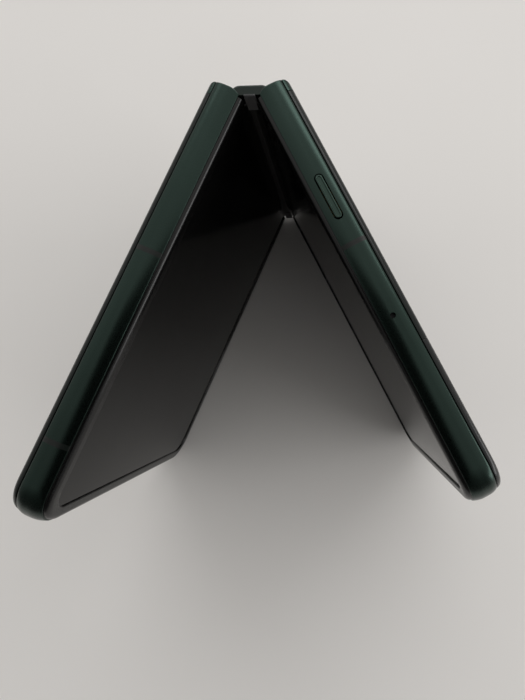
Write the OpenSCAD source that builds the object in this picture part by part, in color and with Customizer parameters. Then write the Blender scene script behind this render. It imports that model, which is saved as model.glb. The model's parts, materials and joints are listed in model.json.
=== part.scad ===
// Folding phone standing on one long side edge, opened to a narrow tent. Millimetres.
// Each half is drawn lying down: x runs from the fold to the end, y along the fold, z from screen to back.

/* [Size] */
// Length along the fold, which is the standing height
fold_len = 72.2; // [68:0.1:78]
// Length of one half, from the middle of the open phone to its end
half_len = 83.4; // [80:0.5:90]
// Thickness of one half, from the raised screen rim to the back glass
half_t = 6.9; // [6.7:0.1:7.6]
// Angle of each half from the closed position
fold_deg = 25.1; // [22:0.1:32]
// Radius of the corners far from the fold
corner_r = 7; // [6:0.1:9]

/* [Fold] */
// Distance from the middle plane to each fold axis
axis_x = 1.8; // [1.75:0.01:1.9]
// Gap between the two frames when the phone lies open
open_gap = 0.2; // [0.2:0.02:0.4]
// How far the hinge cover stands behind the fold axes
cover_back = 3.9; // [3.8:0.05:4]

/* [Screen edge] */
// Width of the raised rim round the screen, from the outside of the frame
rim_in = 3.3; // [3.2:0.1:4]
// Depth of the screen below the rim
screen_v = 0.3; // [0.25:0.01:0.34]

/* [Side key] */
// Distance of the power key's middle from the fold axis
key_u = 22.2; // [20:0.1:24]
// Length of the power key
key_len = 8.7; // [8:0.1:9.6]
// Width of the power key
key_wide = 1.5; // [1.4:0.05:1.8]
// Height of the power key above the frame
key_proud = 0.2; // [0.1:0.05:0.3]

/* [Hidden] */
$fn = 96;

// Lengths shared by several pieces
H = fold_len;
u_end = -(axis_x - open_gap / 2);
u_chin = half_len - axis_x;
u_corner = u_chin - corner_r;
wall = 1.7;
lip_v = 0.9;
front_in = 0.5;
front_rise = 2.3;
glass_w = 0.4;
glass_r = 1.25;
glass_v = half_t - glass_r;
shoulder_rise = 1.6;
shoulder_v = glass_v - shoulder_rise;
shoulder_big_r = (shoulder_rise * shoulder_rise + glass_w * glass_w) / (2 * glass_w);
front_big_r = (front_rise * front_rise + front_in * front_in) / (2 * front_in);
glass_t = 0.6;
glass_u = 0.85;
screen_t = 0.4;
plate_t = 0.2;
web_v = screen_v + screen_t + plate_t;
web_t = 0.6;
floor_v = web_v + web_t;
roof_v = half_t - glass_t;
sweep_r = cover_back + 0.35;
cover_half = 3.8;
cover_corner = 1.8;
cover_end = 1.8;
cover_edge = 0.4;
end_r = 1.3;
end_front_r = 4;
end_front_v = 3;
cover_front = 1.85;
rail_in = 2.3;
rail_out = 2.7;
run_fit = 0.05;
arm_wide = 4.5;
arm_z1 = 9;
arm_z2 = 15.5;
rim_end = -(axis_x - 1.17);
rim_foot = 0.75;
fold_r = axis_x / sin(90 - fold_deg);
fold_drop = fold_r * (1 - cos(90 - fold_deg));
cap_half = 1.05;
cap_end = 0.6;
cap_low = 3.3;
cap_y = fold_drop - 0.25;
usb_mid = H / 2;
mid_v = 3.3;
key_v = 3.1;
mic_u = 46.1;
rocker_u = 46;
band_w = 0.9;
band_near = 31.2;
band_far = u_chin - 15;
screw_z = [14.5, 26, H - 26, H - 14.5];
head_y = 2.6;
lens_z = 11;
lens_u1 = u_chin - 9.2;
lens_u2 = u_chin - 21.2;
window_u = u_chin - 29.5;
cell_u = 11;
cell_edge = 7;
upper_cell_end = u_chin - 45.6;
lower_cell_end = u_chin - 27.6;
board_u = upper_cell_end + 2.5;
coil_u = (cell_u + lower_cell_end) / 2;
coil_r = (lower_cell_end - cell_u) / 2 - 2.5;
speaker_u = u_chin - 23.6;
speaker_z = H - 26.7;
speaker_wide = 14.5;
hole_step = 2.3;
tray_z = 15.5;
upper_mic_z = 24;
lower_mic_z = 27;
motor_z = H - 7.7;

// Place of the fold axes in the standing phone, so that it stands centred on the origin
front_reach = (u_chin - front_in) * cos(fold_deg) - (lip_v - screen_v) * sin(fold_deg);
corner_reach = -(u_end + end_r) * cos(fold_deg) + (half_t - end_r - screen_v) * sin(fold_deg) + end_r;
back_reach = max(cover_back, corner_reach);
axis_y = (front_reach - back_reach) / 2;

// Stands a half, drawn lying down, on its long edge at its fold angle
module stand_upper() {
  translate([axis_x, axis_y, 0]) rotate([0, 0, fold_deg]) translate([-screen_v, 0, 0])
    mirror([0, 1, 0]) rotate([90, 0, 90]) children();
}
module stand_lower() {
  mirror([1, 0, 0]) stand_upper() children();
}

// Moves a piece of the hinge, drawn about the middle between the fold axes
module at_hinge() {
  translate([0, axis_y, 0]) children();
}

// Runs a section, drawn as depth from the outside against height, round the three free edges of a half
module round_edges(u0) {
  translate([u0, 0, 0]) rotate([90, 0, 90]) linear_extrude(u_corner - u0) children();
  translate([u0, H, 0]) mirror([0, 1, 0]) rotate([90, 0, 90]) linear_extrude(u_corner - u0) children();
  translate([u_corner, H - corner_r, 0]) rotate_extrude(angle = 90)
    translate([corner_r, 0]) mirror([1, 0]) children();
  translate([u_corner, corner_r, 0]) rotate([0, 0, -90]) rotate_extrude(angle = 90)
    translate([corner_r, 0]) mirror([1, 0]) children();
  translate([u_chin, H - corner_r, 0]) rotate([90, 0, 0]) linear_extrude(H - 2 * corner_r)
    mirror([1, 0]) children();
}

// Outline of a half seen from the back, drawn in by an even depth
module outline(u0, depth) {
  translate([u0, depth]) square([u_corner - u0, H - 2 * depth]);
  translate([u_corner - 1, corner_r]) square([corner_r + 1 - depth, H - 2 * corner_r]);
  translate([u_corner, corner_r]) circle(corner_r - depth);
  translate([u_corner, H - corner_r]) circle(corner_r - depth);
}

// Straight slab with rounded ends, lying along x
module stadium(len, wide) {
  translate([-(len - wide) / 2, -wide / 2]) square([len - wide, wide]);
  translate([-(len - wide) / 2, 0]) circle(wide / 2);
  translate([(len - wide) / 2, 0]) circle(wide / 2);
}

// Cuts or solids that run along y, drawn in x and z
module along_y(y0, y1) {
  translate([0, y1, 0]) rotate([90, 0, 0]) linear_extrude(y1 - y0) children();
}

// Cuts or solids that run along x, drawn in y and z
module along_x(x0, x1) {
  translate([x0, 0, 0]) rotate([90, 0, 90]) linear_extrude(x1 - x0) children();
}

// Frame section: depth from the outside against height from the screen side
module frame_section() {
  intersection() {
    translate([front_big_r, lip_v + front_rise]) circle(front_big_r);
    translate([0, lip_v]) square([wall, front_rise]);
  }
  translate([0, lip_v + front_rise]) square([wall, shoulder_v - lip_v - front_rise]);
  shoulder();
}
module shoulder() {
  intersection() {
    translate([shoulder_big_r, shoulder_v]) circle(shoulder_big_r);
    translate([0, shoulder_v]) square([wall, shoulder_rise]);
  }
}

// Curved edge of the back glass
module glass_section() {
  intersection() {
    translate([glass_w + glass_r, glass_v]) difference() {
      circle(glass_r);
      circle(glass_r - glass_t);
    }
    translate([0, glass_v]) square([glass_w + glass_r, glass_r + 1]);
  }
}
module glass_fill() {
  intersection() {
    translate([glass_w + glass_r, glass_v]) circle(glass_r);
    translate([0, glass_v]) square([glass_w + glass_r, glass_r + 1]);
  }
  translate([glass_w + glass_r, glass_v]) square([1, glass_r]);
}

// Metal frame of one half, with the bar that closes it over the hinge cover
module half_frame() {
  difference() {
    intersection() {
      union() {
        round_edges(u_end) frame_section();
        end_bar();
        translate([3.4, wall - 0.1, web_v]) cube([u_chin - wall - 3.3, H - 2 * wall + 0.2, web_t]);
      }
      along_y(-1, H + 1) end_profile();
      translate([0, 0, -1]) linear_extrude(12) outline(u_end - 1, 0);
    }
    arm_slots();
  }
}
module end_profile() {
  translate([u_end + end_front_r, 0]) square([u_chin, half_t]);
  translate([u_end + end_r, end_front_v]) square([end_front_r, half_t - end_front_v]);
  translate([u_end, end_front_v]) square([2, half_t - end_r - end_front_v]);
  translate([u_end + end_r, half_t - end_r]) circle(end_r);
  intersection() {
    translate([u_end + end_front_r, end_front_v]) circle(end_front_r);
    translate([u_end, 0]) square([end_front_r, end_front_v]);
  }
}
module end_bar() {
  for (side = [0, 1]) translate([0, side * H, 0]) mirror([0, side, 0])
    along_x(u_end, glass_u) glass_fill();
  along_y(wall, H - wall) {
    difference() {
      translate([u_end, screen_v + sweep_r]) square([glass_u - u_end, half_t - screen_v - sweep_r]);
      translate([0, screen_v]) circle(sweep_r);
    }
    difference() {
      intersection() {
        translate([0, screen_v]) circle(sweep_r + 0.5);
        translate([0, floor_v]) square([sweep_r + 0.5, roof_v - floor_v]);
      }
      translate([0, screen_v]) circle(sweep_r);
    }
    translate([glass_u - 0.1, screen_v + sweep_r - 0.2]) difference() {
      square([2.2, roof_v - screen_v - sweep_r + 0.2]);
      translate([-glass_u + 0.1, 0.2 - sweep_r]) circle(sweep_r);
    }
  }
  along_y(1.2, H - 1.2)
    translate([u_end, screen_v + sweep_r + 0.15]) square([glass_u - u_end, half_t - screen_v - sweep_r - 0.15]);
}
module arm_slots() {
  for (z = [arm_z1, arm_z2, H - arm_z1 - arm_wide, H - arm_z2 - arm_wide])
    translate([0.5, z - 0.4, floor_v - 0.2]) cube([5, arm_wide + 0.8, 2.4]);
}

module upper_frame() color("#22322c") stand_upper() difference() {
  half_frame();
  key_slot();
  translate([mic_u, H + 1, 3.2]) rotate([90, 0, 0]) cylinder(r = 0.5, h = 4);
  translate([rocker_u, -1, mid_v]) rotate([-90, 0, 0]) linear_extrude(4) stadium(18.6, 2.2);
  translate([u_chin - 3, upper_mic_z, mid_v]) rotate([0, 90, 0]) cylinder(r = 0.5, h = 5);
  bands([band_near]);
}
module lower_frame() color("#22322c") stand_lower() difference() {
  half_frame();
  translate([u_chin - 3, usb_mid, mid_v]) rotate([90, 0, 90]) linear_extrude(5) stadium(9.2, 3.4);
  translate([u_chin - 3, tray_z, mid_v]) rotate([90, 0, 90]) linear_extrude(5) stadium(13.9, 2.2);
  for (i = [0 : 5]) translate([u_chin - 3, speaker_z + 1 + hole_step * i, mid_v]) rotate([0, 90, 0])
    cylinder(r = 0.55, h = 5);
  translate([u_chin - 3, lower_mic_z, mid_v]) rotate([0, 90, 0]) cylinder(r = 0.5, h = 5);
  bands([band_near, band_far]);
}
module key_slot() {
  translate([key_u, H + 1, key_v]) rotate([90, 0, 0]) linear_extrude(4) stadium(key_len + 0.5, key_wide + 0.5);
}

// Plastic bands that let the aerials through the frame
module bands(places) {
  for (u = places) for (side = [0, 1]) translate([0, side * H, 0]) mirror([0, side, 0])
    along_x(u, u + band_w) frame_section();
}
module upper_antenna_bands() color("#26302c") stand_upper() bands([band_near]);
module lower_antenna_bands() color("#26302c") stand_lower() bands([band_near, band_far]);

// Back glass with its curved edge
module back_glass(u0, u1) {
  intersection() {
    union() {
      round_edges(glass_u) glass_section();
      translate([0, 0, roof_v]) linear_extrude(glass_t) outline(glass_u, glass_w + glass_r);
    }
    translate([u0, -1, 0]) cube([u1 - u0, H + 2, 20]);
  }
}
module upper_back_glass() color("#18211e") stand_upper() back_glass(glass_u, window_u);
module cover_window() color("#08090a") stand_upper() difference() {
  back_glass(window_u + 0.05, u_chin + 1);
  for (u = [lens_u1, lens_u2]) translate([u, lens_z, 5]) cylinder(r = 5.2, h = 4);
  translate([lens_u1 - 6, lens_z + 8.5, 5]) cylinder(r = 1.5, h = 4);
}
module lower_back_glass() color("#18211e") stand_lower() back_glass(glass_u, u_chin + 1);

// Raised rim round the screen
module rim_section() {
  polygon([
    [rim_foot, lip_v], [rim_foot, 0.58], [0.9, 0.38], [1.15, 0.2], [1.5, 0.05], [1.9, 0], [rim_in - 0.25, 0],
    [rim_in, 0.12], [rim_in, screen_v - 0.02], [rim_in - 0.58, screen_v - 0.02], [rim_in - 0.58, lip_v]
  ]);
}
module upper_rim() color("#151617") stand_upper() difference() {
  round_edges(rim_end) rim_section();
  translate([u_chin - 2.5, usb_mid - 5, -1]) cube([0.7, 10, 3]);
}
module lower_rim() color("#151617") stand_lower() round_edges(rim_end) rim_section();

// Screen, its backing plate and the plate that carries it near the fold
module screen_panel() {
  translate([0, 0, screen_v]) linear_extrude(screen_t) outline(0, rim_in - 0.55);
}
module backing() {
  translate([0, 0, screen_v + screen_t]) linear_extrude(plate_t) outline(6.2, rim_in - 0.55);
}
module wing() {
  translate([0.2, rim_in, screen_v + screen_t]) cube([5.9, H - 2 * rim_in, plate_t]);
}
module upper_display() color("#060607") stand_upper() difference() {
  screen_panel();
  translate([u_chin - 7.5, usb_mid, 0]) cylinder(r = 1.9, h = 3);
}
module lower_display() color("#060607") stand_lower() screen_panel();
module upper_display_plate() color("#5b5f62") stand_upper() difference() {
  backing();
  translate([u_chin - 7.5, usb_mid, 0]) cylinder(r = 1.9, h = 3);
}
module lower_display_plate() color("#5b5f62") stand_lower() backing();
module upper_wing_plate() color("#6a6e70") stand_upper() wing();
module lower_wing_plate() color("#6a6e70") stand_lower() wing();

// Part of the screen that bends, between the two fold axes
module display_fold() color("#060607") at_hinge() difference() {
  translate([0, fold_drop - fold_r, rim_in + 0.1]) linear_extrude(H - 2 * rim_in - 0.2) intersection() {
    difference() {
      circle(fold_r + screen_t);
      circle(fold_r);
    }
    polygon([
      [0, 0], [4 * sin(90 - fold_deg), 4 * cos(90 - fold_deg)], [4, 5], [-4, 5],
      [-4 * sin(90 - fold_deg), 4 * cos(90 - fold_deg)]
    ]);
  }
  for (z = [0, H - 5.7]) translate([-1.45, -1, z]) cube([2.9, 5, 5.7]);
}

// Plate behind the fold and the caps at its two ends, which follow the screen in and out
module fold_plate() color("#6f7375") at_hinge()
  translate([-0.8, fold_drop + screen_t + 0.05, 4.7]) cube([1.6, 0.2, H - 9.4]);
module fold_cap() {
  translate([-cap_half, cap_y, cap_end]) cube([2 * cap_half, 0.4, cap_low - cap_end]);
  translate([-cap_half, cap_y, cap_low]) cube([2 * cap_half, 0.25, 2.2]);
  translate([-0.7, cap_y + 0.2, 4.7]) cube([1.4, fold_drop + screen_t + 0.05 - cap_y - 0.2, 0.8]);
}
module fold_cap_bottom() color("#2c2d2f") at_hinge() fold_cap();
module fold_cap_top() color("#2c2d2f") at_hinge() translate([0, 0, H]) mirror([0, 0, 1]) fold_cap();

// Hinge cover behind the fold, with rounded ends
module cover_shape(inset) {
  top = cover_back - inset;
  half = cover_half - inset;
  translate([-half, cover_front]) square([2 * half, top - cover_corner - cover_front]);
  translate([-half + cover_corner, cover_front]) square([2 * half - 2 * cover_corner, top - cover_front]);
  for (side = [-1, 1]) translate([side * (half - cover_corner), top - cover_corner]) circle(cover_corner);
}
module hinge_cover() color("#1d2320") at_hinge() difference() {
  intersection() {
    translate([0, 0, cover_end]) linear_extrude(H - 2 * cover_end) intersection() {
      cover_shape(0);
      translate([-10, cover_front]) square([20, 10]);
    }
    translate([-10, 0, 0]) rotate([90, 0, 90]) linear_extrude(20) cover_side();
  }
  difference() {
    translate([0, 0, cover_end + 2]) linear_extrude(H - 2 * cover_end - 4) difference() {
      translate([-cover_half + 0.6, cover_front - 1]) square([2 * cover_half - 1.2, cover_back - cover_front + 0.5]);
    }
    translate([-5, cover_back - 0.5, 0]) cube([10, 5, H]);
  }
  for (z = [arm_z1, arm_z2, H - arm_z1 - arm_wide, H - arm_z2 - arm_wide])
    translate([-5, 0, z - 0.4]) cube([10, 3.05, arm_wide + 0.8]);
}
module cover_side() {
  translate([0, cover_end]) square([cover_back - cover_edge, H - 2 * cover_end]);
  translate([0, cover_end + cover_edge]) square([cover_back, H - 2 * cover_end - 2 * cover_edge]);
  for (z = [cover_end + cover_edge, H - cover_end - cover_edge])
    translate([cover_back - cover_edge, z]) circle(cover_edge);
}

// Blocks that hold the curved rails of the arms
module hinge_block(z_upper, z_lower) {
  difference() {
    translate([-3.1, cover_front + 0.05, min(z_upper, z_lower) - 1.5])
      cube([6.2, cover_back - 0.55 - cover_front - 0.05, abs(z_upper - z_lower) + arm_wide + 3]);
    translate([0, 0, min(z_upper, z_lower) - 3]) cylinder(r = 2.55, h = abs(z_upper - z_lower) + arm_wide + 6);
    rail_path(z_upper);
    mirror([1, 0, 0]) rail_path(z_lower);
    screw_shanks();
    screw_heads(0.85, 2);
  }
}
module rail_path(z) {
  translate([axis_x, 0, z - 0.3]) {
    cylinder(r = rail_out + run_fit, h = arm_wide + 0.6);
    cube([cover_half, rail_out + run_fit, arm_wide + 0.6]);
  }
}
module hinge_module_bottom() color("#5d6163") at_hinge() hinge_block(arm_z1, arm_z2);
module hinge_module_top() color("#5d6163") at_hinge()
  hinge_block(H - arm_z1 - arm_wide, H - arm_z2 - arm_wide);
module hinge_bar() color("#55595b") at_hinge() difference() {
  translate([-2.6, 2.6, 23]) cube([5.2, cover_back - 0.5 - 2.6, H - 46]);
  screw_shanks();
}
module hinge_screws() color("#8b8f91") at_hinge() {
  screw_shanks();
  screw_heads(0.8, 0.2);
}
module screw_shanks() {
  for (z = screw_z) translate([0, cover_back - 0.5, z]) rotate([90, 0, 0]) cylinder(r = 0.5, h = cover_back - 0.5 - head_y);
}
module screw_heads(r, h) {
  for (z = screw_z) translate([0, head_y, z]) rotate([90, 0, 0]) cylinder(r = r, h = h);
}

// Arms with curved rails centred on the fold axis
module arm(z) {
  translate([0, z, 0]) translate([0, arm_wide, 0]) rotate([90, 0, 0]) linear_extrude(arm_wide) {
    translate([0, screen_v]) intersection() {
      difference() {
        circle(rail_out);
        circle(rail_in);
      }
      polygon([[0, 0], [0, 5], [-5, 5], [-5 * sin(62), 5 * cos(62)]]);
    }
    translate([0, screen_v + rail_in]) square([8.4, rail_out - rail_in]);
    translate([5.9, floor_v]) square([2.5, screen_v + rail_out - floor_v]);
  }
}
module upper_arm_bottom() color("#707476") stand_upper() arm(arm_z1);
module upper_arm_top() color("#707476") stand_upper() arm(H - arm_z1 - arm_wide);
module lower_arm_bottom() color("#707476") stand_lower() arm(arm_z2);
module lower_arm_top() color("#707476") stand_lower() arm(H - arm_z2 - arm_wide);

// Pieces inside the upper half
module upper_battery() color("#2b2d30") stand_upper()
  translate([cell_u, cell_edge, floor_v + 0.05])
    cube([upper_cell_end - cell_u, H - 2 * cell_edge, roof_v - floor_v - 0.7]);
module main_board() color("#1f5138") stand_upper() difference() {
  translate([board_u, 4.5, floor_v + 0.3]) cube([u_chin - 2.6 - board_u, H - 9, 0.7]);
  for (u = [lens_u1, lens_u2]) translate([u - 5, lens_z - 5.2, 0]) cube([10, 10.4, 10]);
  translate([u_chin - 7.5, usb_mid, 0]) cylinder(r = 3, h = 10);
  translate([rocker_u - 12, -1, 0]) cube([24, 7.5, 10]);
}
module main_shield() color("#9a9da0") stand_upper()
  translate([board_u + 1.5, 22, floor_v + 1]) cube([u_chin - 14.5 - board_u, H - 32, 1.3]);
module cover_display() color("#0d0e11") stand_upper()
  translate([u_chin - 24, 21.5, roof_v - 0.35]) cube([19.5, H - 30.2, 0.35]);
module camera_ring(u) {
  difference() {
    translate([u, lens_z, roof_v - 0.4]) cylinder(r = 5.15, h = glass_t + 1);
    translate([u, lens_z, roof_v - 1]) cylinder(r = 4.3, h = 4);
  }
}
module camera_ring_main() color("#3b4340") stand_upper() camera_ring(lens_u1);
module camera_ring_wide() color("#3b4340") stand_upper() camera_ring(lens_u2);
module camera_lens(u) {
  translate([u, lens_z, half_t - 0.2]) cylinder(r = 4.3, h = 0.6);
}
module camera_lens_main() color("#0b0d12") stand_upper() camera_lens(lens_u1);
module camera_lens_wide() color("#0b0d12") stand_upper() camera_lens(lens_u2);
module camera_module(u) {
  translate([u - 4.5, lens_z - 4.5, floor_v + 0.05]) cube([9, 9, 3.2]);
  translate([u, lens_z, floor_v + 3.2]) cylinder(r = 4, h = half_t - 0.2 - floor_v - 3.2);
}
module camera_module_main() color("#26282b") stand_upper() camera_module(lens_u1);
module camera_module_wide() color("#26282b") stand_upper() camera_module(lens_u2);
module flash_lens() color("#d8d4c0") stand_upper()
  translate([lens_u1 - 6, lens_z + 8.5, roof_v - 0.3]) cylinder(r = 1.5, h = glass_t + 0.3);
module front_camera() color("#0a0a0c") stand_upper() {
  translate([u_chin - 7.5, usb_mid, screen_v]) cylinder(r = 1.85, h = 0.55);
}
module earpiece_mesh() color("#101112") stand_upper()
  translate([u_chin - 2.5, usb_mid - 5, 0.45]) cube([0.7, 10, 0.35]);
module upper_mic_mesh() color("#0c0c0d") stand_upper() {
  translate([mic_u, H - 0.9, 3.2]) rotate([90, 0, 0]) cylinder(r = 0.5, h = 0.4);
  translate([u_chin - 1.3, upper_mic_z, mid_v]) rotate([0, 90, 0]) cylinder(r = 0.5, h = 0.4);
}

// Keys and the switches behind them
module power_key() color("#25362f") stand_upper() difference() {
  union() {
    translate([key_u, H + key_proud, key_v]) rotate([90, 0, 0]) linear_extrude(key_proud + 2.2)
      stadium(key_len, key_wide);
    translate([key_u, H - 2, key_v]) rotate([90, 0, 0]) linear_extrude(0.5)
      stadium(key_len + 1.6, key_wide + 1);
  }
  translate([key_u, H + key_proud + 1, key_v]) rotate([90, 0, 0]) linear_extrude(1.12)
    stadium(key_len - 0.7, key_wide - 0.7);
}
module power_switch() color("#9b8b57") stand_upper()
  translate([key_u - 3, H - 4.1, floor_v]) cube([6, 1, 2.6]);
module volume_rocker() color("#25362f") stand_upper() {
  translate([rocker_u, 0.05, mid_v]) rotate([-90, 0, 0]) linear_extrude(2.2) stadium(18, 1.6);
  translate([rocker_u, 2, mid_v]) rotate([-90, 0, 0]) linear_extrude(0.5) stadium(19.6, 2.6);
}
module volume_switch() color("#9b8b57") stand_upper()
  for (u = [rocker_u - 8, rocker_u + 4]) translate([u, 3.1, floor_v]) cube([4, 1, 2.6]);

// Pieces inside the lower half
module lower_battery() color("#2b2d30") stand_lower()
  translate([cell_u, cell_edge, floor_v + 0.05])
    cube([lower_cell_end - cell_u, H - 2 * cell_edge, roof_v - floor_v - 0.9]);
module sub_board() color("#1f5138") stand_lower()
  translate([lower_cell_end + 2, tray_z + 9, floor_v + 0.2])
    cube([u_chin - 12 - lower_cell_end, speaker_z - tray_z - 9.5, 0.6]);
module charging_coil() color("#8a5a34") stand_lower() difference() {
  translate([coil_u, usb_mid, roof_v - 0.75]) cylinder(r = coil_r, h = 0.5);
  translate([coil_u, usb_mid, roof_v - 2]) cylinder(r = coil_r / 2, h = 3);
}
module usb_shell() color("#8e9294") stand_lower() difference() {
  translate([u_chin - 7.6, usb_mid, mid_v]) rotate([90, 0, 90]) linear_extrude(7.4) stadium(9, 3.2);
  translate([u_chin - 7.2, usb_mid, mid_v]) rotate([90, 0, 90]) linear_extrude(8) stadium(8.4, 2.6);
}
module usb_tongue() color("#131414") stand_lower()
  translate([u_chin - 7.2, usb_mid - 3.35, mid_v - 0.35]) cube([5.6, 6.7, 0.7]);
module loudspeaker() color("#1b1c1e") stand_lower()
  translate([speaker_u, speaker_z, floor_v + 0.05]) cube([u_chin - 2.8 - speaker_u, speaker_wide, 3.9]);
module speaker_mesh() color("#0b0b0c") stand_lower()
  for (i = [0 : 5]) translate([u_chin - 1.4, speaker_z + 1 + hole_step * i, mid_v]) rotate([0, 90, 0])
    cylinder(r = 0.55, h = 0.4);
module lower_mic_mesh() color("#0b0b0c") stand_lower()
  translate([u_chin - 1.4, lower_mic_z, mid_v]) rotate([0, 90, 0]) cylinder(r = 0.5, h = 0.4);
module vibration_motor() color("#7f8385") stand_lower()
  translate([u_chin - 13.6, motor_z, mid_v + 0.1]) rotate([90, 0, 0]) cylinder(r = 1.8, h = 3.6);

// Card tray, which slides out of the end of the lower half, and its socket
module sim_tray() color("#22322c") stand_lower() {
  translate([u_chin - 1.6, tray_z, mid_v]) rotate([90, 0, 90]) linear_extrude(1.55) difference() {
    stadium(13.6, 1.9);
    translate([5.4, 0]) circle(0.4);
  }
  translate([u_chin - 18, tray_z - 5.6, mid_v - 0.35]) difference() {
    cube([16.5, 11.2, 0.7]);
    translate([1.2, 1.2, -1]) cube([12.4, 8.8, 3]);
  }
}
module sim_socket() color("#a2a5a7") stand_lower() difference() {
  translate([u_chin - 19.5, tray_z - 6.6, mid_v - 1.2]) cube([16.5, 13.2, 2.4]);
  translate([u_chin - 18.5, tray_z - 5.9, mid_v - 0.7]) cube([18, 11.8, 1.4]);
}

hinge_cover();
hinge_module_top();
hinge_module_bottom();
hinge_bar();
hinge_screws();
display_fold();
fold_plate();
fold_cap_top();
fold_cap_bottom();
upper_frame();
upper_back_glass();
cover_window();
upper_rim();
upper_display();
upper_display_plate();
upper_wing_plate();
upper_arm_top();
upper_arm_bottom();
upper_antenna_bands();
upper_battery();
main_board();
main_shield();
cover_display();
camera_ring_main();
camera_ring_wide();
camera_lens_main();
camera_lens_wide();
camera_module_main();
camera_module_wide();
flash_lens();
front_camera();
earpiece_mesh();
upper_mic_mesh();
power_switch();
volume_switch();
power_key();
volume_rocker();
lower_frame();
lower_back_glass();
lower_rim();
lower_display();
lower_display_plate();
lower_wing_plate();
lower_arm_top();
lower_arm_bottom();
lower_antenna_bands();
lower_battery();
sub_board();
charging_coil();
usb_shell();
usb_tongue();
loudspeaker();
speaker_mesh();
lower_mic_mesh();
sim_socket();
vibration_motor();
sim_tray();
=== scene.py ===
"""Looks of a folding telephone that stands half folded on one long edge.

Lengths are in millimetres, and those of the room and its lamps in metres.
"""

import json
import math

import bmesh
import bpy
from mathutils import Euler, Matrix, Vector


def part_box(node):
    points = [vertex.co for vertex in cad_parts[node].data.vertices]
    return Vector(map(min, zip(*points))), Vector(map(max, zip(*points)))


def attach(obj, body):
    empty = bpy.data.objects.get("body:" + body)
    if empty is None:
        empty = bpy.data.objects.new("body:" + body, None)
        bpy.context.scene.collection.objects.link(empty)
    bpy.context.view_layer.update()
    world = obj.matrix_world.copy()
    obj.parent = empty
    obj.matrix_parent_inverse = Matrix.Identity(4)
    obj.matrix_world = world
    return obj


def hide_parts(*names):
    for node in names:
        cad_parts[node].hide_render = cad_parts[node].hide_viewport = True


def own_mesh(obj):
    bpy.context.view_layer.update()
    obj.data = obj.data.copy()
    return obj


MM = 0.001

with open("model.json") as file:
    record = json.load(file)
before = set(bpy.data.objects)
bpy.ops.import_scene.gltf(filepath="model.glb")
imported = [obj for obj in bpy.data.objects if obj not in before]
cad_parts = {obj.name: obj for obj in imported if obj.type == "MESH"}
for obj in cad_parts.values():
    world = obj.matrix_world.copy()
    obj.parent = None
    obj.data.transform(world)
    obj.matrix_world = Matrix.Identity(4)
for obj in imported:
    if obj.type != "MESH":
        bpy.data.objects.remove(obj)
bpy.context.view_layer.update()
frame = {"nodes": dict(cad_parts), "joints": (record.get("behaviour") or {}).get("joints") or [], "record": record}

# Camera: focal length and optical centre in pixels of the photograph, turns in degrees,
# place in millimetres from the fold axes
FOCAL = 483.2
CENTRE_X = 345.0
CENTRE_Y = 310.5
TURN_X = -7.135
TURN_Y = -0.883
TURN_Z = -2.330
CAMERA_ACROSS = 14.53
CAMERA_BEFORE = 49.62
CAMERA_UP = 154.39
IMAGE_WIDE = 525
IMAGE_HIGH = 700
SENSOR = 36

# Standing place of the two halves, from the joints
JOINTS = {joint["name"]: joint for joint in frame["joints"]}
AXIS_X = JOINTS["fold_upper"]["pos_m"][0] / MM
AXIS_Y = JOINTS["fold_upper"]["pos_m"][1] / MM
LEAN = math.asin(-JOINTS["sim_tray_slide"]["axis"][0])
UPPER = 1
LOWER = -1

# Sizes that the boxes of the nodes don't give: frame and back glass
CORNER = 7
WALL = 1.7
FRONT_IN = 0.5
FRONT_RISE = 2.3
FRONT_EDGE = 0.12
SHOULDER_RISE = 1.6
GROOVE = 0.13
END_ROUND = 1.3
END_FRONT_ROUND = 4
END_FRONT_RISE = 2.1
SMALL_ROUND = 0.22
BAR_GAP = 0.35
GLASS_GAP = 0.02
GLASS_SMALL_ROUND = 0.15
WINDOW_SEAM = 0.05

# Rim round the screen
RIM_OUT = 0.75
RIM_CREST = 1.9
RIM_WIDE = 3.3
RIM_WEB = 0.55
RIM_INNER_ROUND = 0.3

# Hinge cover, end caps and the curved part of the screen
COVER_ROUND = 1.8
COVER_EDGE = 0.4
COVER_WALL = 0.6
COVER_BACK_WALL = 0.5
COVER_END_WALL = 2
CAP_THICK = 0.4
CAP_EDGE = 0.12
FOLD_THICK = 0.4

# Keys, and the slots and holes in the frames
KEY_FLANGE = 1.6
KEY_FACE_MORE = 0.4
KEY_DEPTH = 2
KEY_EDGE = 0.1
KEY_BORDER = 0.26
KEY_DISH = 0.14
KEY_SLOT_LESS = (1.1, 0.75)
ROCKER_SLOT_LESS = (1, 0.4)
PORT_SLOT = (9.2, 3.4)
TRAY_SLOT = (13.9, 2.2)
SLOT_DEPTH = 4
SLOT_EDGE = 0.05
MIC_HOLE = 0.5
SPEAKER_HOLE = 0.55
HOLE_EDGE = 0.06

# Camera rings and lenses
RING_INNER = 4.3
RING_GAP = 0.05
LENS_GAP = 0.01
LENS_EDGE = 0.1

# Steps round a camera ring, and how far a cutting tool reaches past what it cuts
ROUND_STEPS = 64
BEYOND = 5


def stand(side):
    """Turns a half's own lengths (along from the fold, up, back from the screen) into the row frame."""
    s, c = math.sin(LEAN), math.cos(LEAN)
    rows = (
        (side * s, 0, side * c, side * AXIS_X),
        (-c, 0, s, AXIS_Y),
        (0, 1, 0, 0),
        (0, 0, 0, 1),
    )
    return Matrix.Scale(MM, 4) @ Matrix(rows)


def extent(points):
    """Lowest and highest corner of some points."""
    low = Vector([min(p[i] for p in points) for i in range(3)])
    high = Vector([max(p[i] for p in points) for i in range(3)])
    return low, high


def own_box(node, side):
    """Box of a node in its half's own lengths."""
    turn = stand(side).inverted()
    return extent([turn @ v.co for v in frame["nodes"][node].data.vertices])


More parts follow.
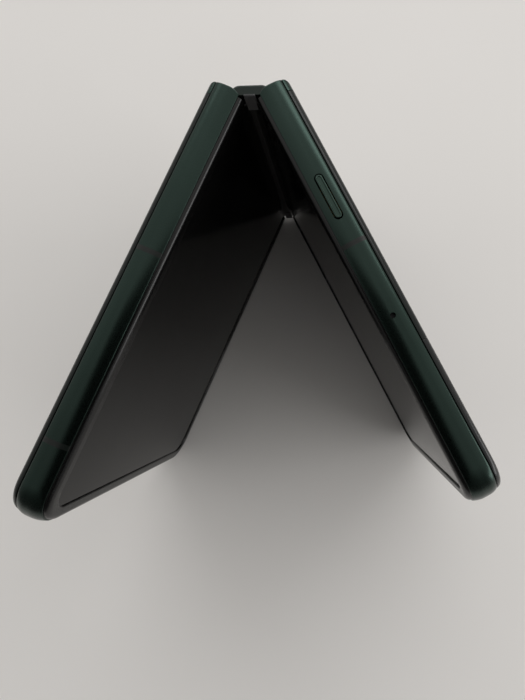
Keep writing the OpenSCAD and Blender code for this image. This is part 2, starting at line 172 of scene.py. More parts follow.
def solids(node, side):
    """Box of each separate solid of a node, in its half's own lengths."""
    turn = stand(side).inverted()
    bm = bmesh.new()
    bm.from_mesh(frame["nodes"][node].data)
    bmesh.ops.remove_doubles(bm, verts=bm.verts, dist=1e-6)
    left = set(bm.verts)
    boxes = []
    while left:
        queue = [left.pop()]
        group = []
        while queue:
            vert = queue.pop()
            group.append(turn @ vert.co)
            for edge in vert.link_edges:
                other = edge.other_vert(vert)
                if other in left:
                    left.remove(other)
                    queue.append(other)
        boxes.append(extent(group))
    bm.free()
    return sorted(boxes, key=lambda box: tuple(round(c, 3) for c in box[0]))


def middle(box, axes):
    """Middle of a box on two of its own lengths."""
    return tuple((getattr(box[0], a) + getattr(box[1], a)) / 2 for a in axes)


def radius_of(box):
    """Radius of a round node, from its box along the half."""
    return (box[1].x - box[0].x) / 2


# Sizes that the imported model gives
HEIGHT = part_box("upper_frame")[1].z / MM
FOLD_END = own_box("upper_frame", UPPER)[0].x
CHIN = own_box("upper_frame", UPPER)[1].x
LIP = own_box("upper_frame", UPPER)[0].z
CREST = own_box("upper_rim", UPPER)[0].z
RIM_START = own_box("upper_rim", UPPER)[0].x
GLASS_START = own_box("upper_back_glass", UPPER)[0].x
GLASS_IN = own_box("upper_back_glass", UPPER)[0].y
GLASS_LOW = own_box("lower_back_glass", LOWER)[0].z
BACK = own_box("upper_back_glass", UPPER)[1].z
WINDOW_START = own_box("cover_window", UPPER)[0].x
GLASS_ROUND = BACK - GLASS_LOW
SHOULDER = GLASS_LOW - SHOULDER_RISE
CORNER_START = CHIN - CORNER


# Curves and lines, as lists of points in a plane
def arc(x, y, radius, start, end, steps):
    """Points of an arc round (x, y), from one angle in degrees to another."""
    turns = [math.radians(start + (end - start) * i / steps) for i in range(steps + 1)]
    return [(x + radius * math.cos(t), y + radius * math.sin(t)) for t in turns]


def circle(radius, count):
    """Closed circle round zero, with its first point not repeated."""
    return arc(0, 0, radius, 0, 360 - 360 / count, count - 1)


def circle_at(centre, radius):
    """Circle round a place, with the steps of a camera ring."""
    return [(centre[0] + a, centre[1] + b) for a, b in circle(radius, ROUND_STEPS)]


def quarter(steps):
    """Angles of a quarter turn in even steps."""
    return [math.pi / 2 * i / steps for i in range(steps + 1)]


def rounding(edge, steps):
    """Steps of a rounded edge, as depth from the face against width from the side."""
    return [(edge * (1 - math.sin(t)), edge * (1 - math.cos(t))) for t in quarter(steps)]


def rounded_ends(low, high, edge, steps):
    """Levels between two ends with rounded edges, each how far it is drawn in and its height."""
    levels = rounding(edge, steps)
    return [(inset, low + rise) for inset, rise in levels] + [
        (inset, high - rise) for inset, rise in reversed(levels)
    ]


def between(a, b, count):
    """Points that split a line evenly, without its two ends."""
    shares = [(i + 1) / (count + 1) for i in range(count)]
    return [tuple(p + (q - p) * share for p, q in zip(a, b)) for share in shares]


def stadium(length, wide):
    """Closed outline with two half-round ends, round zero."""
    steps = 12
    split = 5
    reach = (length - wide) / 2
    right = arc(reach, 0, wide / 2, -90, 90, steps)
    left = arc(-reach, 0, wide / 2, 90, 270, steps)
    return right + between(right[-1], left[0], split) + left + between(left[-1], right[0], split)


def frame_profile():
    """Outside of the frame, as depth from the outermost plane against height from the screen."""
    edge_steps = 5
    front_steps = 16
    shoulder_steps = 8
    large = (FRONT_RISE**2 + FRONT_IN**2) / (2 * FRONT_IN)
    tip = math.asin((FRONT_RISE - FRONT_EDGE) / (large - FRONT_EDGE))
    tip_in = large - (large - FRONT_EDGE) * math.cos(tip)
    tip_turn = 180 + math.degrees(tip)
    front = arc(tip_in, LIP + FRONT_EDGE, FRONT_EDGE, 270, tip_turn, edge_steps)
    front += arc(large, LIP + FRONT_RISE, large, tip_turn, 180, front_steps)[1:]
    radius = (SHOULDER_RISE**2 + GLASS_IN**2) / (2 * GLASS_IN)
    lean = math.degrees(math.asin(SHOULDER_RISE / radius))
    shoulder = arc(radius, SHOULDER, radius, 180, 180 - lean, shoulder_steps)
    shoulder[-1] = (GLASS_IN + GROOVE, GLASS_LOW)
    return front + shoulder


def glass_profile():
    """Curved edge of the back glass, in the same lengths."""
    steps = 14
    edge = arc(GLASS_IN + GLASS_ROUND, GLASS_LOW, GLASS_ROUND, 180, 90, steps)
    edge[0] = (GLASS_IN + GROOVE, GLASS_LOW)
    return edge


def end_at(height):
    """Where a half ends at its fold, at a height from the screen."""
    over = height - (BACK - END_ROUND)
    under = LIP + END_FRONT_RISE - height
    if over > 0:
        return FOLD_END + END_ROUND - math.sqrt(max(END_ROUND**2 - over**2, 0))
    if under > 0:
        return FOLD_END + END_FRONT_ROUND - math.sqrt(END_FRONT_ROUND**2 - under**2)
    return FOLD_END


def outline(depth, end, end_round):
    """Closed outline of a half seen from behind, drawn in by a depth, with rounded corners at the fold."""
    end_steps = 6
    corner_steps = 24
    split_along = 11
    split_up = 9
    top = HEIGHT - depth
    low_end = arc(end + end_round, depth + end_round, end_round, 180, 270, end_steps)
    low_corner = arc(CORNER_START, CORNER, CORNER - depth, -90, 0, corner_steps)
    top_corner = arc(CORNER_START, HEIGHT - CORNER, CORNER - depth, 0, 90, corner_steps)
    top_end = arc(end + end_round, top - end_round, end_round, 90, 180, end_steps)
    return (
        low_end
        + between(low_end[-1], low_corner[0], split_along)
        + low_corner
        + between(low_corner[-1], top_corner[0], split_up)
        + top_corner
        + between(top_corner[-1], top_end[0], split_along)
        + top_end
        + between(top_end[-1], low_end[0], split_up)
    )


# Meshes
def loft(rows, ring=False):
    """Mesh through rows of points that are each a closed loop. ring joins the last row to the first."""
    bm = bmesh.new()
    verts = [[bm.verts.new(p) for p in row] for row in rows]
    pairs = list(zip(verts, verts[1:]))
    if ring:
        pairs.append((verts[-1], verts[0]))
    for a, b in pairs:
        for i in range(len(a)):
            j = (i + 1) % len(a)
            bm.faces.new((a[i], a[j], b[j], b[i]))
    if not ring:
        bm.faces.new(verts[0])
        bm.faces.new(verts[-1])
    bmesh.ops.remove_doubles(bm, verts=bm.verts, dist=1e-5)
    bmesh.ops.recalc_face_normals(bm, faces=bm.faces)
    mesh = bpy.data.meshes.new("shape")
    bm.to_mesh(mesh)
    bm.free()
    return mesh


def body_loft(levels, end_round):
    """Solid of a half from its levels, each (depth, end at the fold, height)."""
    return loft([[(u, z, v) for u, z in outline(w, end, end_round)] for w, end, v in levels])


def box_mesh(low, high):
    """Block between two opposite corners."""
    corners = [(low[0], low[1]), (high[0], low[1]), (high[0], high[1]), (low[0], high[1])]
    return loft([[(x, y, z) for x, y in corners] for z in (low[2], high[2])])


def prism(points, low, high):
    """Solid between two heights over an outline of along and up lengths."""
    return loft([[(u, z, v) for u, z in points] for v in (low, high)])


def sweep_edges(section):
    """Solid that runs a closed section round the three free edges of a half, from where the rim starts."""
    straight = 12
    corner_steps = 32
    along = [RIM_START + (CORNER_START - RIM_START) * i / straight for i in range(straight)]
    places = [((u, 0), (0, 1)) for u in along]
    for centre, start in ((CORNER, -90), (HEIGHT - CORNER, 0)):
        for i in range(corner_steps + 1):
            turn = math.radians(start + 90 * i / corner_steps)
            out = (math.cos(turn), math.sin(turn))
            place = (CORNER_START + CORNER * out[0], centre + CORNER * out[1])
            places.append((place, (-out[0], -out[1])))
    places += [((u, HEIGHT), (0, -1)) for u in reversed(along)]
    rows = [
        [(place[0] + inward[0] * w, place[1] + inward[1] * w, v) for w, v in section]
        for place, inward in places
    ]
    return loft(rows)


def lathe(section, centre):
    """Ring from a closed section of radius against height, round an axis from the screen to the back."""
    rows = []
    for i in range(ROUND_STEPS):
        turn = 2 * math.pi * i / ROUND_STEPS
        across, up = math.cos(turn), math.sin(turn)
        rows.append([(centre[0] + r * across, centre[1] + r * up, v) for r, v in section])
    return loft(rows, ring=True)


def join(meshes):
    """One mesh from several."""
    bm = bmesh.new()
    for mesh in meshes:
        bm.from_mesh(mesh)
    mesh = bpy.data.meshes.new("shape")
    bm.to_mesh(mesh)
    bm.free()
    return mesh


def carve(mesh, tools):
    """The mesh with each tool cut out of it."""
    work = bpy.data.objects.new("work", mesh)
    bpy.context.scene.collection.objects.link(work)
    helpers = []
    for tool in tools:
        helper = bpy.data.objects.new("tool", tool)
        bpy.context.scene.collection.objects.link(helper)
        helpers.append(helper)
        cut = work.modifiers.new("cut", "BOOLEAN")
        cut.operation = "DIFFERENCE"
        cut.solver = "EXACT"
        cut.object = helper
    depsgraph = bpy.context.evaluated_depsgraph_get()
    result = bpy.data.meshes.new_from_object(work.evaluated_get(depsgraph))
    for used in [work] + helpers:
        bpy.data.objects.remove(used)
    return result


def flared(points, centre, base, out, edge):
    """Tool for a slot or hole with a rounded edge.

    points gives an outline round zero, widened by what it is given, and out is the way out of the surface.
    """
    above = 0.8
    above_wider = 0.05
    edge_steps = 4
    levels = [(-SLOT_DEPTH, 0)]
    levels += [(-drop, wider) for drop, wider in rounding(edge, edge_steps)]
    levels.append((above, edge + above_wider))
    rows = []
    for level, wider in levels:
        row = []
        for a, b in points(wider):
            if out == "up":
                row.append((centre[0] + a, base + level, centre[1] + b))
            elif out == "down":
                row.append((centre[0] + a, base - level, centre[1] + b))
            else:
                row.append((base + level, centre[0] + a, centre[1] + b))
        rows.append(row)
    return loft(rows)


def slot_tool(length, wide, centre, base, out):
    """Tool for a slot with half-round ends."""
    return flared(lambda more: stadium(length + 2 * more, wide + 2 * more), centre, base, out, SLOT_EDGE)


def hole_tool(radius, centre, base, out):
    """Tool for a small round hole."""
    steps = 16
    return flared(lambda more: circle(radius + more, steps), centre, base, out, HOLE_EDGE)


def round_tool(radius, centre):
    """Tool for a round hole through the back glass."""
    return prism(circle_at(centre, radius), GLASS_LOW - BEYOND, BACK + BEYOND)


# Materials
def noise(tree, scale, detail=3, stretch=None):
    """Noise that stays put on the piece. stretch scales it along each axis."""
    nodes, links = tree.nodes, tree.links
    coordinates = nodes.new("ShaderNodeTexCoord")
    texture = nodes.new("ShaderNodeTexNoise")
    texture.inputs["Scale"].default_value = scale
    texture.inputs["Detail"].default_value = detail
    source = coordinates.outputs["Object"]
    if stretch:
        mapping = nodes.new("ShaderNodeMapping")
        mapping.inputs["Scale"].default_value = stretch
        links.new(source, mapping.inputs["Vector"])
        source = mapping.outputs["Vector"]
    links.new(source, texture.inputs["Vector"])
    return texture.outputs["Fac"]


def spread(tree, source, low, high):
    """Maps the middle of a noise to a range."""
    node = tree.nodes.new("ShaderNodeMapRange")
    node.inputs["From Min"].default_value = 0.3
    node.inputs["From Max"].default_value = 0.7
    node.inputs["To Min"].default_value = low
    node.inputs["To Max"].default_value = high
    tree.links.new(source, node.inputs["Value"])
    return node.outputs["Result"]


def shaded(name, color, rough, metal=0.0, vary=0.08, patch=60, grain=9000, bump=0.15, height=0.01, **more):
    """Procedural surface: colour that varies in patches, and a fine grain in the roughness and the bump."""
    material = bpy.data.materials.new(name)
    material.use_nodes = True
    tree = material.node_tree
    shader = tree.nodes["Principled BSDF"]
    shader.inputs["Metallic"].default_value = metal
    stretch = more.pop("stretch", None)
    rough_vary = 0.12
    for socket, value in more.items():
        shader.inputs[socket].default_value = value
    blend = tree.nodes.new("ShaderNodeMix")
    blend.data_type = "RGBA"
    blend.inputs["A"].default_value = (*[c * (1 - vary) for c in color], 1)
    blend.inputs["B"].default_value = (*[min(c * (1 + vary), 1) for c in color], 1)
    patches = noise(tree, patch)
    tree.links.new(spread(tree, patches, 0, 1), blend.inputs["Factor"])
    tree.links.new(blend.outputs["Result"], shader.inputs["Base Color"])
    fine = noise(tree, grain, 2, stretch)
    low, high = rough * (1 - rough_vary), rough * (1 + rough_vary)
    tree.links.new(spread(tree, fine, low, high), shader.inputs["Roughness"])
    relief = tree.nodes.new("ShaderNodeBump")
    relief.inputs["Strength"].default_value = bump
    relief.inputs["Distance"].default_value = height * MM
    tree.links.new(fine, relief.inputs["Height"])
    tree.links.new(relief.outputs["Normal"], shader.inputs["Normal"])
    return material


def make_materials():
    """One material for each slot of the record."""
    brushed = (1, 1, 12)
    return {
        "frame_metal": shaded(
            "frame_metal", (0.028, 0.043, 0.037), 0.27, 1.0, vary=0.06, grain=11000, bump=0.25, height=0.004
        ),
        "key_metal": shaded(
            "key_metal", (0.036, 0.056, 0.047), 0.28, 1.0, grain=11000, bump=0.2, height=0.004
        ),
        "cover_metal": shaded("cover_metal", (0.030, 0.036, 0.033), 0.2, 1.0, grain=12000, bump=0.1),
        "band_plastic": shaded("band_plastic", (0.003, 0.005, 0.004), 0.35, grain=8000, IOR=1.42),
        "back_glass": shaded("back_glass", (0.004, 0.006, 0.005), 0.24, bump=0.02, IOR=1.33),
        "cover_glass": shaded(
            "cover_glass",
            (0.005, 0.006, 0.006),
            0.24,
            bump=0.02,
            IOR=1.33,
            **{"Coat Weight": 0.12, "Coat Roughness": 0.05},
        ),
        "screen_film": shaded("screen_film", (0.003, 0.003, 0.003), 0.12, grain=900, bump=0.03, IOR=1.29),
        "screen_glass": shaded("screen_glass", (0.003, 0.003, 0.004), 0.12, bump=0.02, IOR=1.27),
        "rim_plastic": shaded("rim_plastic", (0.002, 0.002, 0.002), 0.26, grain=7000, bump=0.03, IOR=1.42),
        "cap_plastic": shaded("cap_plastic", (0.040, 0.040, 0.042), 0.5, grain=7000, bump=0.3),
        "steel": shaded("steel", (0.07, 0.072, 0.075), 0.36, 1.0, stretch=brushed, grain=4000),
        "plate_steel": shaded("plate_steel", (0.35, 0.36, 0.37), 0.4, 1.0, stretch=brushed, grain=4000),
        "cell_foil": shaded("cell_foil", (0.10, 0.10, 0.11), 0.5, 0.6, patch=200, grain=2500, bump=0.3),
        "board": shaded("board", (0.03, 0.12, 0.06), 0.45, patch=900, grain=6000, vary=0.3),
        "shield_steel": shaded("shield_steel", (0.5, 0.51, 0.52), 0.3, 1.0, grain=5000),
        "copper": shaded("copper", (0.45, 0.22, 0.10), 0.35, 1.0, patch=700, grain=6000),
        "lens_glass": shaded("lens_glass", (0.006, 0.006, 0.009), 0.1, bump=0.01, IOR=1.3),
        "flash_glass": shaded("flash_glass", (0.7, 0.67, 0.55), 0.25, patch=2500, bump=0.3),
        "ring_metal": shaded("ring_metal", (0.06, 0.08, 0.07), 0.26, 1.0, grain=9000),
        "module_black": shaded("module_black", (0.03, 0.03, 0.032), 0.6, grain=6000),
        "mesh_steel": shaded("mesh_steel", (0.03, 0.03, 0.032), 0.6, 0.7, grain=5000, bump=0.6),
        "switch_gold": shaded("switch_gold", (0.5, 0.4, 0.18), 0.35, 1.0, grain=6000),
        "tongue_plastic": shaded("tongue_plastic", (0.02, 0.02, 0.02), 0.45, grain=6000),
    }


MATERIALS = make_materials()


def settle(name, mesh, body, slot, nodes=(), side=None, sharp=32):
    """Puts a mesh, drawn in a half's own lengths or in those of the row frame, in its place on a body."""
    bm = bmesh.new()
    bm.from_mesh(mesh)
    bmesh.ops.transform(bm, matrix=stand(side) if side else Matrix.Scale(MM, 4), verts=bm.verts)
    bmesh.ops.dissolve_degenerate(bm, edges=bm.edges, dist=1e-8)
    bmesh.ops.recalc_face_normals(bm, faces=bm.faces)
    bm.to_mesh(mesh)
    bm.free()
    mesh.name = name
    mesh.materials.clear()
    mesh.materials.append(MATERIALS[slot])
    for polygon in mesh.polygons:
        polygon.use_smooth = True
        polygon.material_index = 0
    mesh.set_sharp_from_angle(angle=math.radians(sharp))
    piece = bpy.data.objects.new(name, mesh)
    bpy.context.scene.collection.objects.link(piece)
    smooth = piece.modifiers.new("even_normals", "WEIGHTED_NORMAL")
    smooth.keep_sharp = True
    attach(piece, body)
    if nodes:
        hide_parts(*nodes)
    return piece


def paint_nodes():
    """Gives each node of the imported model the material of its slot."""
    for part in frame["record"]["subparts"]:
        node = frame["nodes"][part["node"]]
        node.data.materials.clear()
        node.data.materials.append(MATERIALS[part["material_slot"]])


# Pieces of the halves
def frame_mesh(tools):
    """Metal frame of a half, emptied inside, behind for the glass and at the fold for the hinge."""
    levels = [(w, end_at(v), v) for w, v in frame_profile() + glass_profile()[1:]]
    solid = body_loft(levels, SMALL_ROUND)
    inner = prism(outline_inside(WALL), LIP - BEYOND, BACK + BEYOND)
    behind = box_mesh((GLASS_START, -BEYOND, GLASS_LOW), (CHIN + BEYOND, HEIGHT + BEYOND, BACK + BEYOND))
    into_inner = 1
    hinge = box_mesh(
        (FOLD_END - BEYOND, WALL, LIP - BEYOND),
        (GLASS_START + into_inner, HEIGHT - WALL, bar_low()),
    )
    return carve(solid, [inner, behind, hinge] + tools)


def outline_inside(depth):
    """Outline of the space inside a frame's walls."""
    steps = 16
    low_corner = arc(CORNER_START, CORNER, CORNER - depth, -90, 0, steps)
    top_corner = arc(CORNER_START, HEIGHT - CORNER, CORNER - depth, 0, 90, steps)
    return [(GLASS_START, depth)] + low_corner + top_corner + [(GLASS_START, HEIGHT - depth)]


def bar_low():
    """Height of the underside of the bar that closes a frame over the hinge cover."""
    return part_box("hinge_cover")[1].y / MM - AXIS_Y + BAR_GAP


def band_tools(side, node):
    """Tools for the cuts in a frame that the plastic bands fill."""
    aside = 0.5
    over = 1
    tools = []
    for low, high in solids(node, side):
        tools.append(box_mesh((low.x, low.y - aside, LIP - over), (high.x, high.y + aside, GLASS_LOW + over)))
    return tools


def band_mesh(side, node):
    """Plastic bands that fill the cuts in a frame."""
    inner = [(WALL, GLASS_LOW), (WALL, LIP)]
    section = frame_profile() + inner
    meshes = []
    for low, high in solids(node, side):
        top = low.y > HEIGHT / 2
        rows = []
        for u in (low.x, (low.x + high.x) / 2, high.x):
            rows.append([(u, HEIGHT - w if top else w, v) for w, v in section])
        meshes.append(loft(rows))
    return join(meshes)


def glass_mesh(start, end=None, holes=()):
    """Back glass with its curved edge, from start to end along the half."""
    first, *others = glass_profile()
    levels = [(first[0], start + GLASS_GAP, first[1] + GLASS_GAP)]
    levels += [(w, start + GLASS_GAP, v) for w, v in others]
    solid = body_loft(levels, GLASS_SMALL_ROUND)
    tools = list(holes)
    if end is not None:
        tools.append(box_mesh((end, -BEYOND, LIP - BEYOND), (CHIN + BEYOND, HEIGHT + BEYOND, BACK + BEYOND)))
    return carve(solid, tools) if tools else solid


def rim_mesh():
    """Soft rim that rises from the frame, rounds over to a flat crest and drops to the screen."""
    foot = LIP + 0.02
    ledge = LIP + 0.1
    ledge_out = WALL - 0.05
    bottom = -0.01
    outer_steps = 14
    inner_steps = 6
    web_in = RIM_WIDE - RIM_WEB
    reach = RIM_CREST - RIM_OUT
    rise = foot - CREST
    outer = [(RIM_CREST - reach * math.cos(t), foot - rise * math.sin(t)) for t in quarter(outer_steps)]
    turn = arc(RIM_WIDE - RIM_INNER_ROUND, CREST + RIM_INNER_ROUND, RIM_INNER_ROUND, -90, 0, inner_steps)
    inner = [(RIM_WIDE, bottom), (web_in, bottom), (web_in, ledge), (ledge_out, ledge)]
    return sweep_edges(outer + turn + inner)


def key_mesh(box, top, dish):
    """Key with rounded edges and a dished face. top is the way it faces: 1 up, -1 down."""
    low, high = box
    length = high.x - low.x - KEY_FLANGE
    wide = high.z - low.z - KEY_FLANGE + KEY_FACE_MORE
    centre = middle(box, "xz")
    face = high.y if top > 0 else low.y
    edge_steps = 4
    levels = [(-KEY_DEPTH, 0)]
    levels += [(-drop, inset) for drop, inset in rounding(KEY_EDGE, edge_steps)]
    if dish:
        soft = 0.03
        slope = 0.12
        foot = 0.05
        levels += [(0, KEY_BORDER), (-soft, KEY_BORDER + soft)]
        levels += [(soft - dish, KEY_BORDER + slope - foot), (-dish, KEY_BORDER + slope)]
    rows = []
    for level, inset in levels:
        shape = stadium(length - 2 * inset, wide - 2 * inset)
        rows.append([(centre[0] + a, face + top * level, centre[1] + b) for a, b in shape])
    return loft(rows)


def make_half(side, name):
    """Frame, rim and bands of one half."""
    body = name + "_half"
    mics = solids(name + "_mic_mesh", side)
    tools = band_tools(side, name + "_antenna_bands")
    tools.append(hole_tool(MIC_HOLE, middle(mics[-1], "yz"), CHIN, "along"))
    if side == UPPER:
        tools += upper_tools(mics[0])
    else:
        tools += lower_tools()
    settle(name + "_frame_shell", frame_mesh(tools), body, "frame_metal", [name + "_frame"], side)
    bands = band_mesh(side, name + "_antenna_bands")
    settle(name + "_band_inlays", bands, body, "band_plastic", [name + "_antenna_bands"], side)
    settle(name + "_screen_rim", rim_mesh(), body, "rim_plastic", [name + "_rim"], side, sharp=50)


def key_slot(node, less, base, out):
    """Tool for the slot of a key, shorter and narrower than the key's flange."""
    box = own_box(node, UPPER)
    length = box[1].x - box[0].x - less[0]
    wide = box[1].z - box[0].z - less[1]
    return slot_tool(length, wide, middle(box, "xz"), base, out)


def upper_tools(side_mic):
    """Tools for the slots of both keys and the microphone hole beside the power key."""
    return [
        key_slot("power_key", KEY_SLOT_LESS, HEIGHT, "up"),
        key_slot("volume_rocker", ROCKER_SLOT_LESS, 0, "down"),
        hole_tool(MIC_HOLE, middle(side_mic, "xz"), HEIGHT, "up"),
    ]


def lower_tools():
    """Tools for the loudspeaker holes, the port and the tray in the end of the lower half."""
    port_middle = middle(own_box("usb_shell", LOWER), "yz")
    tray_middle = (middle(own_box("sim_tray", LOWER), "yz")[0], port_middle[1])
    speaker_holes = [middle(box, "yz") for box in solids("speaker_mesh", LOWER)]
    tools = [hole_tool(SPEAKER_HOLE, place, CHIN, "along") for place in speaker_holes]
    tools.append(slot_tool(*PORT_SLOT, port_middle, CHIN, "along"))
    tools.append(slot_tool(*TRAY_SLOT, tray_middle, CHIN, "along"))
    return tools


def make_glass():
    """Back glass of both halves.

    That of the upper half is in two pieces. The one over the cover screen has holes for cameras and flash.
    """
    holes = []
    for node, gap in (("camera_ring_main", RING_GAP), ("camera_ring_wide", RING_GAP), ("flash_lens", 0)):
        box = own_box(node, UPPER)
        holes.append(round_tool(radius_of(box) + gap, middle(box, "xy")))
    plain = glass_mesh(GLASS_START, WINDOW_START - WINDOW_SEAM)
    settle("upper_rear_glass", plain, "upper_half", "back_glass", ["upper_back_glass"], UPPER)
    outer = glass_mesh(WINDOW_START - GLASS_GAP, None, holes)
    settle("outer_window", outer, "upper_half", "cover_glass", ["cover_window"], UPPER)
    whole = glass_mesh(GLASS_START)
    settle("lower_rear_glass", whole, "lower_half", "back_glass", ["lower_back_glass"], LOWER)


def ring_section(outer, low, top):
    """Section of a camera's metal ring, with a rounded bore and a rounded outer edge."""
    bore_high = 0.25
    bore_wide = 0.22
    edge = 0.2
    steps = 5
    section = [(outer, low), (RING_INNER, low)]
    for t in quarter(steps):
        radius = RING_INNER + bore_wide * (1 - math.cos(t))
        section.append((radius, top - bore_high + bore_high * math.sin(t)))
    section += [(outer - edge + edge * math.sin(t), top - edge + edge * math.cos(t)) for t in quarter(steps)]
    return section


def make_cameras():
    """Metal rings and domed lenses on the back."""
    lens_steps = 3
    for kind in ("main", "wide"):
        node = "camera_ring_" + kind
        ring = own_box(node, UPPER)
        centre = middle(ring, "xy")
        band = lathe(ring_section(radius_of(ring), ring[0].z, ring[1].z), centre)
        settle("lens_ring_" + kind, band, "upper_half", "ring_metal", [node], UPPER)
        node = "camera_lens_" + kind
        lens = own_box(node, UPPER)
        radius = radius_of(lens) - LENS_GAP
        levels = [(radius, lens[0].z)]
        levels += [(radius - inset, lens[1].z - drop) for drop, inset in rounding(LENS_EDGE, lens_steps)]
        dome = loft([[(u, z, v) for u, z in circle_at(centre, r)] for r, v in levels])
        settle("lens_glass_" + kind, dome, "upper_half", "lens_glass", [node], UPPER)


def make_keys():
    """Dished power key on the upper edge and plain volume rocker on the edge that the telephone stands on."""
    key = key_mesh(own_box("power_key", UPPER), 1, KEY_DISH)
    settle("side_key", key, "power_key", "key_metal", ["power_key"], UPPER)
    rocker = key_mesh(own_box("volume_rocker", UPPER), -1, 0)
    settle("rocker_key", rocker, "volume_rocker", "key_metal", ["volume_rocker"], UPPER)


# Pieces of the hinge
def make_cover():
    """Cover behind the fold: a shell with rounded back edges and softly rounded ends."""
    low, high = [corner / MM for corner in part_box("hinge_cover")]
    edge_steps = 5
    turn_steps = 12
    rows = []
    for inset, z in rounded_ends(low.z, high.z, COVER_EDGE, edge_steps):
        back = high.y - inset
        reach = high.x - inset
        turn = COVER_ROUND - inset
        shape = arc(reach - turn, back - turn, turn, 0, 90, turn_steps)
        shape += arc(-reach + turn, back - turn, turn, 90, 180, turn_steps)
        shape += [(-reach, low.y), (reach, low.y)]
        rows.append([(x, y, z) for x, y in shape])
    inside_half = high.x - COVER_WALL
    inside = box_mesh(
        (-inside_half, low.y - BEYOND, low.z + COVER_END_WALL),
        (inside_half, high.y - COVER_BACK_WALL, high.z - COVER_END_WALL),
    )
    settle("rounded_cover", carve(loft(rows), [inside]), "spine", "cover_metal", ["hinge_cover"])


def slab(low, high, edge):
    """Block with rounded long edges along z and softened ends."""
    steps = 4
    rows = []
    for inset, z in rounded_ends(low.z, high.z, edge, steps):
        left, right = low.x + inset + edge, high.x - inset - edge
        front, back = low.y + inset + edge, high.y - inset - edge
        shape = arc(right, back, edge, 0, 90, steps) + arc(left, back, edge, 90, 180, steps)
        shape += arc(left, front, edge, 180, 270, steps) + arc(right, front, edge, 270, 360, steps)
        rows.append([(x, y, z) for x, y in shape])
    return loft(rows)


def make_caps():
    """Caps at the two ends of the fold."""
    for end in ("top", "bottom"):
        low, high = [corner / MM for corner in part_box("fold_cap_" + end)]
        face = slab(low, Vector((high.x, low.y + CAP_THICK, high.z)), CAP_EDGE)
        settle("fold_end_cap_" + end, face, "fold_carrier", "cap_plastic", ["fold_cap_" + end])


def make_fold():
    """Screen between the two fold axes, as one smooth curved sheet that runs into both flat screens."""
    low, high = [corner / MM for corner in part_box("display_fold")]
    curve_steps = 40
    along_steps = 24
    radius = AXIS_X / math.cos(LEAN)
    swing = 90 - math.degrees(LEAN)
    drop = radius * (1 - math.cos(math.radians(swing)))
    centre_y = AXIS_Y + drop - radius
    face = arc(0, centre_y, radius, 90 - swing, 90 + swing, curve_steps)
    behind = arc(0, centre_y, radius + FOLD_THICK, 90 + swing, 90 - swing, curve_steps)
    rows = []
    for i in range(along_steps + 1):
        z = low.z + (high.z - low.z) * i / along_steps
        rows.append([(x, y, z) for x, y in face + behind])
    sheet = settle("folding_screen", loft(rows), "spine", "screen_film", ["display_fold"], sharp=50)
    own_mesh(sheet)


# Room, lights and camera
def make_floor():
    """Pale floor, a little uneven in its colour."""
    half = 3
    cloud_scale = 6
    mesh = bpy.data.meshes.new("floor")
    corners = [(-half, -half, 0), (half, -half, 0), (half, half, 0), (-half, half, 0)]
    mesh.from_pydata(corners, [], [(0, 1, 2, 3)])
    floor = bpy.data.objects.new("floor", mesh)
    bpy.context.scene.collection.objects.link(floor)
    material = bpy.data.materials.new("floor_paint")
    material.use_nodes = True
    tree = material.node_tree
    shader = tree.nodes["Principled BSDF"]
    shader.inputs["Roughness"].default_value = 0.9
    blend = tree.nodes.new("ShaderNodeMix")
    blend.data_type = "RGBA"
    blend.inputs["A"].default_value = (0.76, 0.74, 0.72, 1)
    blend.inputs["B"].default_value = (0.80, 0.78, 0.76, 1)
    tree.links.new(spread(tree, noise(tree, cloud_scale), 0, 1), blend.inputs["Factor"])
    tree.links.new(blend.outputs["Result"], shader.inputs["Base Color"])
    mesh.materials.append(material)


def window_lamp(name, place, aim, size, power):
    """Wide lamp that stands in for a window."""
    data = bpy.data.lights.new(name, "AREA")
    data.shape = "RECTANGLE"
    data.size, data.size_y = size
    data.energy = power
    light = bpy.data.objects.new(name, data)
    bpy.context.scene.collection.objects.link(light)
    light.location = place
    light.rotation_euler = (Vector(aim) - Vector(place)).to_track_quat("-Z", "Y").to_euler()


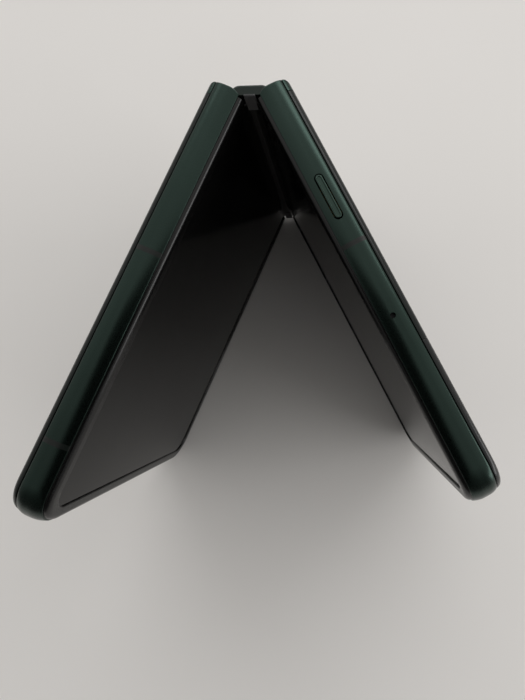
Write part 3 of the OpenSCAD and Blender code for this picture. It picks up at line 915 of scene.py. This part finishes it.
def make_lights():
    """Room that is bright behind and dark towards the camera, with two wide windows."""
    bright_way = (0.25, 0.97, 0)
    levels = ((0, 0.05), (0.2, 0.16), (0.4, 0.56), (0.6, 0.74), (1, 0.9))
    level_seen = 0.8
    world = bpy.data.worlds.new("room")
    bpy.context.scene.world = world
    world.use_nodes = True
    nodes, links = world.node_tree.nodes, world.node_tree.links
    background = nodes["Background"]
    background.inputs["Color"].default_value = (1.0, 0.985, 0.96, 1)
    direction = nodes.new("ShaderNodeTexCoord")
    along = nodes.new("ShaderNodeVectorMath")
    along.operation = "DOT_PRODUCT"
    along.inputs[1].default_value = bright_way
    share = nodes.new("ShaderNodeMapRange")
    share.inputs["From Min"].default_value = -1
    ramp = nodes.new("ShaderNodeValToRGB")
    stops = ramp.color_ramp.elements
    for position, _ in levels[1:-1]:
        stops.new(position)
    for stop, (_, level) in zip(stops, levels):
        stop.color = (level, level, level, 1)
    seen = nodes.new("ShaderNodeLightPath")
    chosen = nodes.new("ShaderNodeMix")
    chosen.inputs["B"].default_value = level_seen
    links.new(direction.outputs["Generated"], along.inputs[0])
    links.new(along.outputs["Value"], share.inputs["Value"])
    links.new(share.outputs["Result"], ramp.inputs["Fac"])
    links.new(ramp.outputs["Color"], chosen.inputs["A"])
    links.new(seen.outputs["Is Camera Ray"], chosen.inputs["Factor"])
    links.new(chosen.outputs["Result"], background.inputs["Strength"])
    window_lamp("rear_window", place=(0.25, 1.25, 1.15), aim=(0, 0, 0.03), size=(2.4, 0.5), power=12)
    window_lamp("right_window", place=(1.2, -0.25, 0.32), aim=(0, 0, 0.05), size=(1, 0.5), power=5.5)


def make_flag():
    """Dark panel over the front of the telephone, in place of the camera that took the photograph."""
    high = 0.162
    left, right, front, rear = -0.054, 0.028, -0.260, 0.006
    mesh = bpy.data.meshes.new("flag")
    corners = [(left, front, high), (right, front, high), (right, rear, high), (left, rear, high)]
    mesh.from_pydata(corners, [], [(3, 2, 1, 0)])
    panel = bpy.data.objects.new("flag", mesh)
    bpy.context.scene.collection.objects.link(panel)
    mesh.materials.append(shaded("flag_cloth", (0.01, 0.01, 0.01), 0.9))
    panel.visible_camera = False


def make_camera():
    """Camera at the photograph's place, with its optical centre off the middle of the picture."""
    data = bpy.data.cameras.new("camera")
    data.sensor_fit = "VERTICAL"
    data.sensor_width = SENSOR
    data.sensor_height = SENSOR
    data.lens = FOCAL / IMAGE_HIGH * SENSOR
    data.shift_x = (IMAGE_WIDE / 2 - CENTRE_X) / IMAGE_HIGH
    data.shift_y = (CENTRE_Y - IMAGE_HIGH / 2) / IMAGE_HIGH
    data.clip_start = 0.005
    camera = bpy.data.objects.new("camera", data)
    bpy.context.scene.collection.objects.link(camera)
    turn = Euler([math.radians(t) for t in (TURN_X, TURN_Y, TURN_Z)], "XYZ").to_matrix()
    flip = Matrix.Diagonal((1, -1, -1))
    facing = (flip @ turn @ flip).transposed().to_4x4()
    place = Vector((CAMERA_ACROSS, AXIS_Y - CAMERA_BEFORE, CAMERA_UP)) * MM
    camera.matrix_world = Matrix.Translation(place) @ facing
    bpy.context.scene.camera = camera


paint_nodes()
make_half(UPPER, "upper")
make_half(LOWER, "lower")
make_glass()
make_cameras()
make_keys()
make_cover()
make_caps()
make_fold()
make_floor()
make_lights()
make_flag()
make_camera()
bpy.context.scene.view_settings.view_transform = "Standard"
